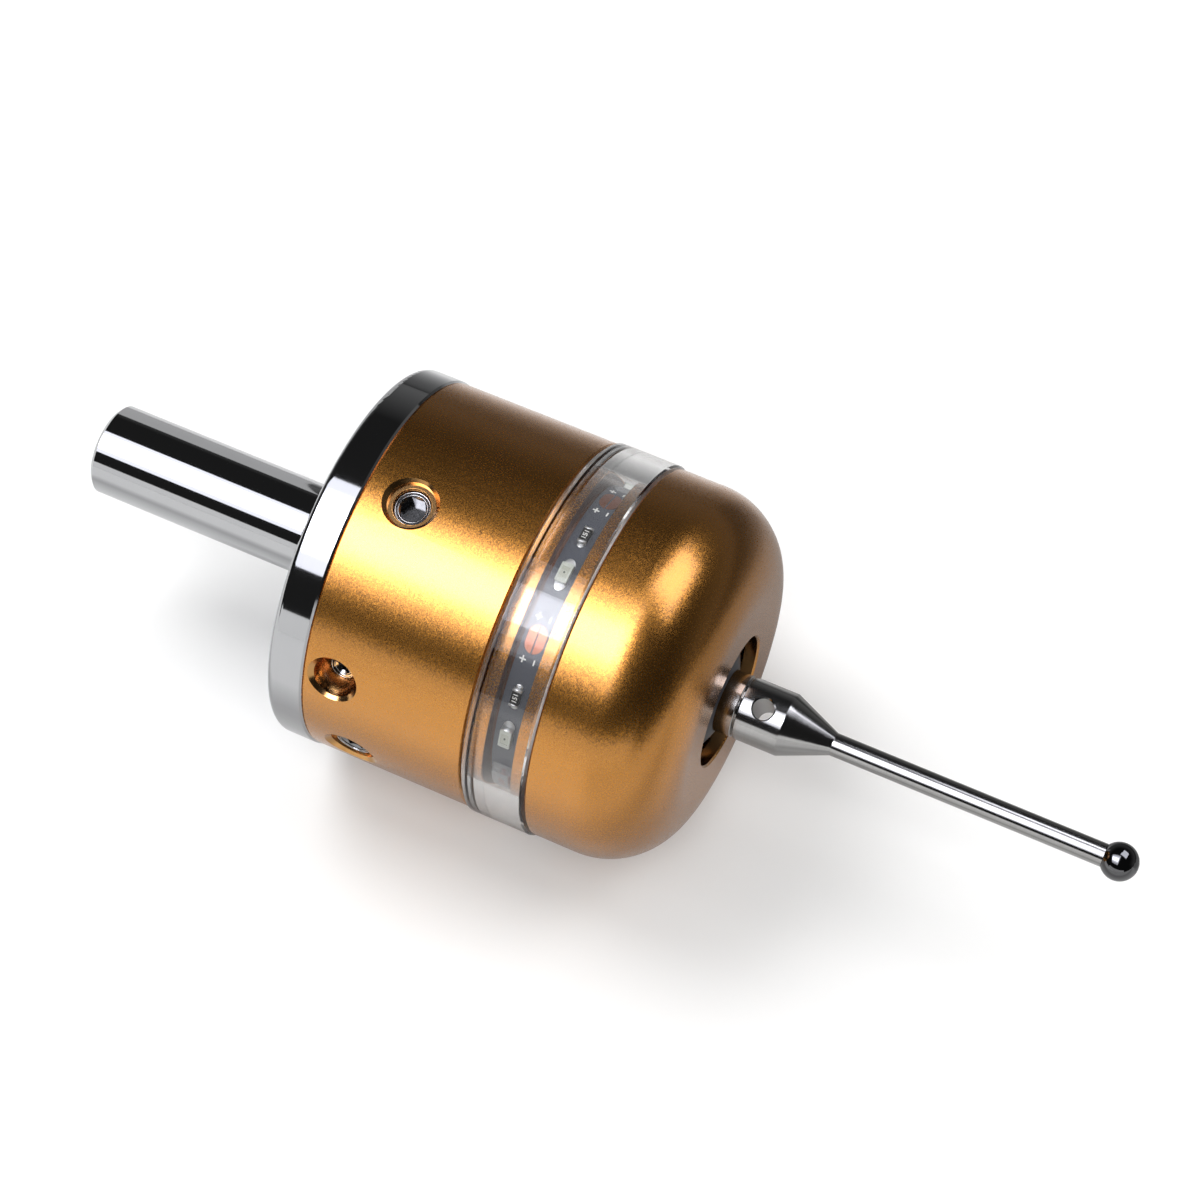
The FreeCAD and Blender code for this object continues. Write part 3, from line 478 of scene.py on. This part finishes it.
def finishPiece(name, bm, material, smooth=False):
    bmesh.ops.recalc_face_normals(bm, faces=bm.faces)
    mesh = bpy.data.meshes.new(name)
    bm.to_mesh(mesh)
    bm.free()
    for face in mesh.polygons:
        face.use_smooth = smooth
    mesh.materials.append(materials[material])
    piece = bpy.data.objects.new(name, mesh)
    bpy.context.scene.collection.objects.link(piece)
    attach(piece, "housing")


def addBlock(bm, size, matrix):
    corners = bmesh.ops.create_cube(bm, size=1.0)["verts"]
    bmesh.ops.scale(bm, vec=Vector(size), verts=corners)
    bmesh.ops.transform(bm, matrix=matrix, verts=corners)


def addBead(bm, size, matrix, rings=8):
    made = bmesh.ops.create_uvsphere(bm, u_segments=2 * rings, v_segments=rings, radius=0.5)
    bmesh.ops.scale(bm, vec=Vector(size), verts=made["verts"])
    bmesh.ops.transform(bm, matrix=matrix, verts=made["verts"])


marks = {
    "turn": 7.6,  # degrees from the middle of the pads
    "apart": 0.62 * mm,
    "arm": 0.72 * mm,
    "stroke": 0.17 * mm,
    "height": 0.02 * mm,
    "minus": 0.8,  # length of the minus, as a share of the plus's arm
    "feedRoom": 9,  # degrees beside the feed's glue that carry no marks
}


def makeStripMarks():
    # Plus and minus at both ends of each pair of pads.
    bm = bmesh.new()
    arm, stroke, height = marks["arm"], marks["stroke"], marks["height"]
    for pad in cellTurns(strip["padTurn"]):
        for side in (-1, 1):
            turn = pad + side * marks["turn"]
            if abs(turn - strip["feedTurn"]) < marks["feedRoom"]:
                continue
            plus = onStrip(turn, -marks["apart"], height / 2)
            addBlock(bm, (arm, stroke, height), plus)
            addBlock(bm, (stroke, arm, height), plus)
            minus = onStrip(turn, marks["apart"], height / 2)
            addBlock(bm, (stroke, arm * marks["minus"], height), minus)
    finishPiece("stripMarks", bm, "strip ink")


ledDetail = {
    "width": 1.25 * mm,
    "length": 2.0 * mm,
    "face": 0.67 * mm,  # height of the case over the strip
    "terminal": 0.24 * mm,
    "proud": 0.03 * mm,  # how much wider the terminals are than the case
    "terminalTall": 0.9,  # height and middle of the terminals, as shares of the case's height
    "terminalMiddle": 0.46,
    "pad": (1.30 * mm, 1.50 * mm, 0.18 * mm),
    "gel": (0.85 * mm, 1.20 * mm, 0.10 * mm),
    "chip": (0.17 * mm, 0.17 * mm, 0.06 * mm),
    "sink": {"gel": 0.10 * mm, "chip": 0.03 * mm},  # depth of their middles under the case's face
}


def makeLedSolder():
    # A rounded pad of solder past each end and the bright terminals of the case.
    bm = bmesh.new()
    size = ledDetail
    for turn in cellTurns(strip["ledTurn"]):
        for side in (-1, 1):
            end = Matrix.Translation((0, side * size["length"] / 2, 0))
            addBead(bm, size["pad"], onStrip(turn) @ end, rings=12)
            inset = Matrix.Translation((0, side * (size["length"] - size["terminal"]) / 2, 0))
            tall = size["face"] * size["terminalTall"]
            addBlock(bm, (size["width"] + size["proud"], size["terminal"], tall),
                     onStrip(turn, 0, size["face"] * size["terminalMiddle"]) @ inset)
    finishPiece("ledSolder", bm, "solder", True)


def makeLedInlays(name, kind, material):
    bm = bmesh.new()
    for turn in cellTurns(strip["ledTurn"]):
        addBlock(bm, ledDetail[kind], onStrip(turn, 0, ledDetail["face"] - ledDetail["sink"][kind]))
    finishPiece(name, bm, material)


resistorDetail = {
    "length": 1.8 * mm,
    "width": 0.95 * mm,
    "height": 0.45 * mm,
    "cap": 0.24 * mm,
    "proud": 0.02 * mm,  # how far the tinned caps stand out from the body
    "bead": (0.80 * mm, 0.60 * mm, 0.22 * mm),
    "beadOut": 0.14 * mm,
}


def makeResistorEnds():
    bm = bmesh.new()
    size = resistorDetail
    proud = size["proud"]
    for turn in cellTurns(strip["resistorTurn"]):
        for side in (-1, 1):
            end = Matrix.Translation((0, side * (size["length"] / 2 - size["cap"] / 2 + proud), 0))
            addBlock(bm, (size["width"] + 2 * proud, size["cap"], size["height"] + 2 * proud),
                     onStrip(turn, 0, size["height"] / 2 + proud) @ end)
            bead = Matrix.Translation((0, side * (size["length"] / 2 + size["beadOut"]), 0))
            addBead(bm, size["bead"], onStrip(turn) @ bead)
    finishPiece("resistorEnds", bm, "solder", True)


code = {
    "text": "151",
    "height": 0.52 * mm,
    "fontSize": 1.35,  # font size for a digit of height 1
    "thick": 0.02 * mm,
    "bold": 0.008 * mm,
    "lift": 0.03 * mm,
}


def makeResistorCodes():
    # The resistance value printed on each resistor, read along the strip.
    bm = bmesh.new()
    for turn in cellTurns(strip["resistorTurn"]):
        curve = bpy.data.curves.new("code", "FONT")
        curve.body = code["text"]
        curve.size = code["height"] * code["fontSize"]
        curve.align_x = "CENTER"
        curve.align_y = "CENTER"
        curve.extrude = code["thick"] / 2
        curve.offset = code["bold"]
        curve.resolution_u = 2
        holder = bpy.data.objects.new("code", curve)
        bpy.context.scene.collection.objects.link(holder)
        bpy.context.view_layer.update()
        flat = bpy.data.meshes.new_from_object(holder.evaluated_get(bpy.context.evaluated_depsgraph_get()))
        bpy.data.objects.remove(holder)
        flat.transform(onStrip(turn, 0, resistorDetail["height"] + code["lift"])
                       @ Matrix.Rotation(math.radians(90), 4, "Z"))
        bm.from_mesh(flat)
        bpy.data.meshes.remove(flat)
    bmesh.ops.remove_doubles(bm, verts=bm.verts, dist=1e-8)
    finishPiece("resistorCodes", bm, "strip ink")


def spinInHole(bm, outline, edges, steps, x, turn, reach):
    # Spins a closed outline into a ring and moves it to a radial hole at x and the angle, with reach as
    # its distance from the probe's axis. Rings that are in place are tagged.
    bmesh.ops.spin(bm, geom=outline + edges, cent=(0, 0, 0), axis=(0, 0, 1), angle=2 * math.pi,
                   steps=steps, use_merge=True)
    ring = [vert for vert in bm.verts if not vert.tag]
    bmesh.ops.transform(bm, verts=ring, matrix=Matrix.Rotation(math.radians(turn), 4, "X")
                        @ Matrix.Translation((x, 0, reach)))
    for vert in ring:
        vert.tag = True


threads = {
    "x": 9.2 * mm,
    "turns": (10.8, 190.8),
    "bore": 2.02 * mm,
    "from": 19.08 * mm,  # distances from the probe's axis
    "to": 19.58 * mm,
    "pitch": 0.22 * mm,
    "outline": ((-0.30, 0.0), (0.10, 0.40), (0.10, -0.40)),  # crest and roots in pitches from the bore
    "steps": 40,
}


def makeThreadRings():
    bm = bmesh.new()
    pitch = threads["pitch"]
    for turn in threads["turns"]:
        for ring in range(int((threads["to"] - threads["from"]) / pitch) + 1):
            corners = [bm.verts.new((threads["bore"] + pitch * out, 0, pitch * up))
                       for out, up in threads["outline"]]
            edges = [bm.edges.new((corners[i - 1], corners[i])) for i in range(len(corners))]
            reach = threads["from"] + ring * pitch
            spinInHole(bm, corners, edges, threads["steps"], threads["x"], turn, reach)
    finishPiece("threadRings", bm, "cut gold", True)


# Rounded edges of a screw, outside and round its socket, in steel brighter than the screw's own, which
# paints their highlight: ring radius and thickness.
m4Edges = ((1.80 * mm, 0.075 * mm), (1.50 * mm, 0.045 * mm))
m3Edges = ((1.34 * mm, 0.060 * mm), (0.92 * mm, 0.040 * mm))
edgeSides, edgeSteps = 10, 48
screws = [
    # place along x, angle, distance of the screw's top from the probe's axis, edges that are made
    (9.2 * mm, 10.8, 19.00 * mm, m4Edges),
    (9.2 * mm, 100.8, 19.80 * mm, m4Edges),
    (9.2 * mm, 190.8, 19.00 * mm, m4Edges[:1]),
    (9.2 * mm, 280.8, 19.80 * mm, m4Edges[:1]),
    (7.4 * mm, 68.8, 17.90 * mm, m3Edges),
    (7.4 * mm, 248.8, 17.90 * mm, m3Edges[:1]),
]


def makeScrewRims():
    bm = bmesh.new()
    for x, turn, top, rims in screws:
        for radius, thick in rims:
            loop = bmesh.ops.create_circle(bm, segments=edgeSides, radius=thick)["verts"]
            bmesh.ops.transform(bm, verts=loop, matrix=Matrix.Translation((radius, 0, 0))
                                @ Matrix.Rotation(math.radians(90), 4, "X"))
            edges = [edge for edge in bm.edges if edge.verts[0] in loop and edge.verts[1] in loop]
            spinInHole(bm, loop, edges, edgeSteps, x, turn, top)
    finishPiece("screwRims", bm, "rim highlight steel", True)


topGlue = {"turn": -40.0, "size": (2.3 * mm, 2.2 * mm, 0.5 * mm)}


def makeTopGlue():
    bm = bmesh.new()
    addBead(bm, topGlue["size"], onStrip(topGlue["turn"]), rings=12)
    finishPiece("topGlue", bm, "clear glue", True)


makeStripMarks()
makeLedSolder()
makeLedInlays("ledGel", "gel", "led gel")
makeLedInlays("ledChips", "chip", "led chip")
makeResistorEnds()
makeResistorCodes()
makeThreadRings()
makeScrewRims()
makeTopGlue()
print("strip and screw details made")

room = {
    "floorZ": -20.76 * mm,
    "floorHalf": 3.0,
    "floorColour": rgb(0.86, 0.86, 0.86),
    "seenInMetal": rgb(0.72, 0.72, 0.72),
    "cameraLift": 0.13,
    "fadeFrom": 0.055,  # in reflections the white table fades out behind the probe
    "fadePower": 2.4,
    "fadeLeft": 0.10,
    "tipShadeY": (0.009, 0.012),  # painted shade beside the stylus, darker in what the metal mirrors: edge and softness across
    "tipShadeX": (0.036, 0.018),
    "tipShadeNear": 0.22,  # how much the painted shade darkens it in front of the stylus, and how much more behind it
    "tipShadeFar": 0.40,
    "shadeY": (-0.042, -0.018, 0.020),  # the probe's own shade, as the metal shows it: edges and softness
    "shadeDepth": 0.36,
    "awayFrom": (0.30, 0.20),  # the empty table further out is white to the camera: edge and softness
    "awayLift": 0.60,
    "dark": rgb(0.012, 0.012, 0.012),
    "ringPasses": (2.5, 0.1),  # a ray mirrored under the ring has passed its surfaces more than twice
}


def rayKind(w):
    # What metal mirrors, also where the mirrored ray leaves through the ring, and what is seen straight
    # or through clear pieces.
    outAgain = 1 - lightPath(w, "Transmission Depth").below(*room["ringPasses"])
    underRing = lightPath(w, "Glossy Depth").limit() * outAgain
    through = lightPath(w, "Is Transmission Ray")
    mirrored = lightPath(w, "Is Glossy Ray").most(through * underRing)
    straight = lightPath(w, "Is Camera Ray").most(through * (1 - underRing))
    return mirrored, straight


def floorMaterial():
    made, w = startMaterial("floor")
    x, y = splitAxes(w, readPlace(w))[:2]
    mirrored, straight = rayKind(w)
    far = (room["fadeFrom"] / y.most(room["fadeFrom"])) ** room["fadePower"]
    bright = room["fadeLeft"] + (1 - room["fadeLeft"]) * far
    # Painted shade on the floor beside and behind the stylus, seen only where metal mirrors it.
    tipShadeZone = 1 - x.below(*room["tipShadeX"])
    tipShade = room["tipShadeNear"] + (1 - y.below(*room["tipShadeY"])) * room["tipShadeFar"]
    bright = bright * (1 - tipShadeZone * tipShade)
    shadeFar, shadeNear, shadeSoft = room["shadeY"]
    shade = y.below(shadeNear, shadeSoft) * (1 - y.below(shadeFar, shadeSoft))
    bright = bright * (1 - shade * room["shadeDepth"])
    metal = blendColour(w, bright, room["dark"], room["seenInMetal"])
    colour = blendColour(w, mirrored, room["floorColour"], metal)
    matte = w.node("BsdfDiffuse", {}, {"Color": colour})
    away = 1 - ((x * x + y * y) ** 0.5).below(*room["awayFrom"])
    seen = straight * (room["cameraLift"] + away * room["awayLift"])
    lift = w.node("Emission", {}, {"Color": rgb(1, 1, 1), "Strength": seen})
    closeMaterial(w, w.node("AddShader", {}, {0: matte, 1: lift}))
    return made


def makeSheet(name, material, centre, half, standing):
    # A flat sheet of the room. One that stands up faces the probe along y, and only gloss shows it.
    bm = bmesh.new()
    bmesh.ops.create_grid(bm, x_segments=1, y_segments=1, size=1.0)
    upright = Matrix.Rotation(math.radians(90 if standing else 0), 4, "X")
    bmesh.ops.transform(bm, matrix=Matrix.Translation(centre) @ upright
                        @ Matrix.Diagonal((half[0], half[1], 1, 1)), verts=bm.verts)
    mesh = bpy.data.meshes.new(name)
    bm.to_mesh(mesh)
    bm.free()
    mesh.materials.append(material)
    sheet = bpy.data.objects.new(name, mesh)
    if standing:
        sheet.visible_camera = False
        sheet.visible_diffuse = False
        sheet.visible_shadow = False
        sheet.visible_transmission = False
    bpy.context.scene.collection.objects.link(sheet)


cards = {
    # centre, half size, radiance
    "frontCard": ((0.10, -0.60, 0.055), (0.52, 0.078), 0.80),
    "shankCard": ((-0.089, 0.062, 0.006), (0.061, 0.026), 0.50),
}


def makeCards():
    for name, (centre, half, strength) in cards.items():
        made, w = startMaterial(name)
        closeMaterial(w, w.node("Emission", {}, {"Color": rgb(1, 1, 1), "Strength": strength}))
        makeSheet(name, made, centre, half, True)


boxTint = (0.97, 0.98, 1.07)  # the lamps that show in gloss are a little cool

lamps = {
    # centre, size, turn about z in degrees, radiance, and whether it lights surfaces or shows in gloss
    "frontFill": ((0.30, -0.60, 1.03), (0.70, 0.70), 0.0, 3.8, "lights"),
    "sideFill": ((-0.60, 0.14, 1.03), (0.60, 0.60), 0.0, 7.6, "lights"),
    "tipFill": ((0.62, 0.36, 1.03), (0.50, 0.50), 0.0, 3.4, "lights"),
    "frontBox": ((-0.47, -0.58, 1.0), (1.10, 1.32), 0.0, 1.5, "shows"),
    "frontGlow": ((-0.47, -0.47, 0.99), (1.00, 0.84), 0.0, 1.6, "shows"),
    "frontCore": ((-0.47, -0.43, 0.98), (0.90, 0.46), 0.0, 4.4, "shows"),
    "backBox": ((0.40, 0.62, 1.0), (0.72, 0.95), -12.0, 2.6, "shows"),
}


def makeLamps():
    for name, (centre, size, turn, radiance, use) in lamps.items():
        lamp = bpy.data.lights.new(name, "AREA")
        lamp.shape = "RECTANGLE"
        lamp.size, lamp.size_y = size
        lamp.energy = radiance * math.pi * size[0] * size[1]
        if use == "shows":
            lamp.color = boxTint
        holder = bpy.data.objects.new(name, lamp)
        holder.location = centre
        holder.rotation_euler = (0, 0, math.radians(turn))
        holder.visible_camera = False
        holder.visible_diffuse = use == "lights"
        holder.visible_glossy = use == "shows"
        holder.visible_transmission = use == "shows"
        bpy.context.scene.collection.objects.link(holder)


skyLook = {
    "seen": 1.0,
    "fill": 0.36,
    "low": 0.12,  # in gloss, low down behind the probe
    "high": 0.015,  # in gloss, everywhere else
    "lowZ": (0.30, 0.5),  # where that begins and ends: edge and softness in the direction's z and y
    "lowY": (0.0, 0.4),
}


def makeWorld():
    world = bpy.data.worlds.new("studio")
    world.use_nodes = True
    world.node_tree.nodes.clear()
    w = Wire(world.node_tree)
    y, z = splitAxes(w, w.node("TexCoord", {}, {}, "Generated"))[1:]
    mirrored, straight = rayKind(w)
    low = z.below(*skyLook["lowZ"]) * (1 - y.below(*skyLook["lowY"]))
    diffuse = lightPath(w, "Is Diffuse Ray")
    inMetal = skyLook["high"] + low * (skyLook["low"] - skyLook["high"])
    strength = straight * skyLook["seen"] + diffuse * skyLook["fill"] + mirrored * inMetal
    sky = w.node("Background", {}, {"Color": rgb(1, 1, 1), "Strength": strength})
    w.node("OutputWorld", {}, {"Surface": sky})
    bpy.context.scene.world = world


cameraSet = {
    "place": (0.09829, -0.14618, 0.27049),
    "right": (0.90185, 0.43207, 0.0),
    "up": (-0.36702, 0.76611, 0.52762),
    "back": (0.22793, -0.47583, 0.84949),
    "lens": 90.59,
    "sensor": 36,
    "clipStart": 0.01,
}


def makeCamera():
    camera = bpy.data.cameras.new("camera")
    camera.sensor_width = cameraSet["sensor"]
    camera.lens = cameraSet["lens"]
    camera.clip_start = cameraSet["clipStart"]
    holder = bpy.data.objects.new("camera", camera)
    turn = Matrix((cameraSet["right"], cameraSet["up"], cameraSet["back"])).transposed()
    holder.matrix_world = Matrix.Translation(cameraSet["place"]) @ turn.to_4x4()
    bpy.context.scene.collection.objects.link(holder)
    bpy.context.scene.camera = holder


makeSheet("floor", floorMaterial(), (0, 0, room["floorZ"]), (room["floorHalf"],) * 2, False)
makeCards()
makeLamps()
makeWorld()
makeCamera()
bpy.context.scene.view_settings.view_transform = "Standard"
print("floor, lamps and camera made")
